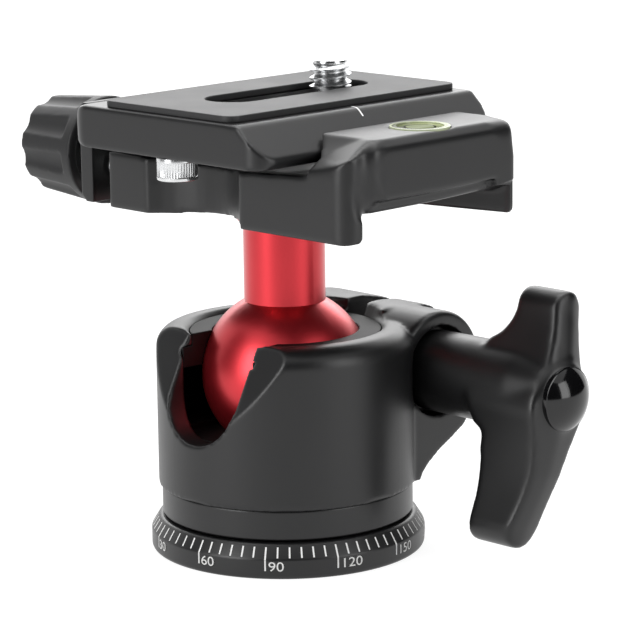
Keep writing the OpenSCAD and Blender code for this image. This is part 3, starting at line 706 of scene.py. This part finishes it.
helix.use_merge_vertices, helix.merge_threshold = True, 0.005 * MM
bpy.ops.object.modifier_apply(modifier=helix.name)
bpy.ops.object.mode_set(mode="EDIT")
bpy.ops.mesh.select_all(action="SELECT")
bpy.ops.mesh.remove_doubles(threshold=0.005 * MM)
cut((0, 0, thread_low), (0, 0, 1), use_fill=True, clear_inner=True)
cut((0, 0, thread_top), (0, 0, 1), use_fill=True, clear_outer=True)
bpy.ops.mesh.select_all(action="SELECT")
bpy.ops.mesh.normals_make_consistent(inside=False)
bpy.ops.object.mode_set(mode="OBJECT")
for vertex in thread.data.vertices:
    limit = crest_r - max(vertex.co.z / MM - (thread_top - 0.5), 0) * 0.9
    out = math.hypot(vertex.co.x, vertex.co.y) / MM
    if out > limit:
        vertex.co.x, vertex.co.y = vertex.co.x * limit / out, vertex.co.y * limit / out
    vertex.co.y += screw_y * MM
# The thread runs out below a short round end
end_r, end_depth = 2.55, 0.9
bpy.ops.object.select_all(action="DESELECT")
bpy.ops.mesh.primitive_cylinder_add(vertices=72, radius=end_r * MM, depth=end_depth * MM,
                                    location=(0, screw_y * MM, (thread_top - 0.05) * MM))
bpy.ops.object.transform_apply()
round_end = bpy.context.object
round_end.name = "rounded_screw_end"
round_edges(round_end, 0.2, 2)

# Its head and plain neck lie under the plate: turned, with a slot for a coin.
bpy.ops.object.select_all(action="DESELECT")
shank = machined_copy("camera_screw", "slotted_head")
bpy.ops.object.mode_set(mode="EDIT")
cut((0, 0, thread_low + 0.05), (0, 0, 1), use_fill=True, clear_outer=True)
bpy.ops.object.mode_set(mode="OBJECT")
round_edges(shank, 0.12, 2)
finish(shank, bright, "camera_screw", "screw_steel")
finish(thread, bright, "camera_screw", "screw_steel")
finish(round_end, bright, "camera_screw", "screw_steel")
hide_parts("camera_screw")

# ---------------------------------------------------------------------------------------------
# Stop screw: a small steel screw with a finely knurled head between two smooth rims.
# It drops over the clamp's edge and keeps the plate from sliding out.
stop_y, stop_r, stop_low, stop_high = -21.2, 3.0, 58.5, 61.8
ridges, ridge_depth = 44, 0.208
bpy.ops.object.select_all(action="DESELECT")
bpy.ops.mesh.primitive_cylinder_add(vertices=2 * ridges, radius=stop_r * MM,
                                    depth=(stop_high - stop_low) * MM,
                                    location=(0, stop_y * MM, (stop_low + stop_high) / 2 * MM))
knurl = bpy.context.object
knurl.name = "knurled_stop_screw"
bpy.ops.object.transform_apply()
bpy.ops.object.mode_set(mode="EDIT")
for level in (stop_low + 0.45, stop_low + 0.6, stop_high - 0.75, stop_high - 0.6):
    cut((0, 0, level), (0, 0, 1))
bpy.ops.object.mode_set(mode="OBJECT")
for vertex in knurl.data.vertices:
    z = vertex.co.z / MM
    turn = math.atan2(vertex.co.x, vertex.co.y - stop_y * MM)
    if stop_low + 0.5 < z < stop_high - 0.7 and round(turn / math.tau * 2 * ridges) % 2:
        inner = (stop_r - ridge_depth) / stop_r
        vertex.co.x *= inner
        vertex.co.y = stop_y * MM + (vertex.co.y - stop_y * MM) * inner
rim = knurl.modifiers.new("rims", "BEVEL")
rim.width, rim.segments, rim.limit_method, rim.angle_limit = 0.3 * MM, 3, "ANGLE", math.radians(80)
bpy.ops.object.modifier_apply(modifier=rim.name)
finish(knurl, bright, "plate", "stop_steel")
neck = machined_copy("stop_screw", "stop_screw_thread")
bpy.ops.object.mode_set(mode="EDIT")
cut((0, 0, stop_high + 0.01), (0, 0, 1), use_fill=True, clear_inner=True)
bpy.ops.object.mode_set(mode="OBJECT")
finish(neck, bright, "plate", "stop_steel")
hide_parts("stop_screw")
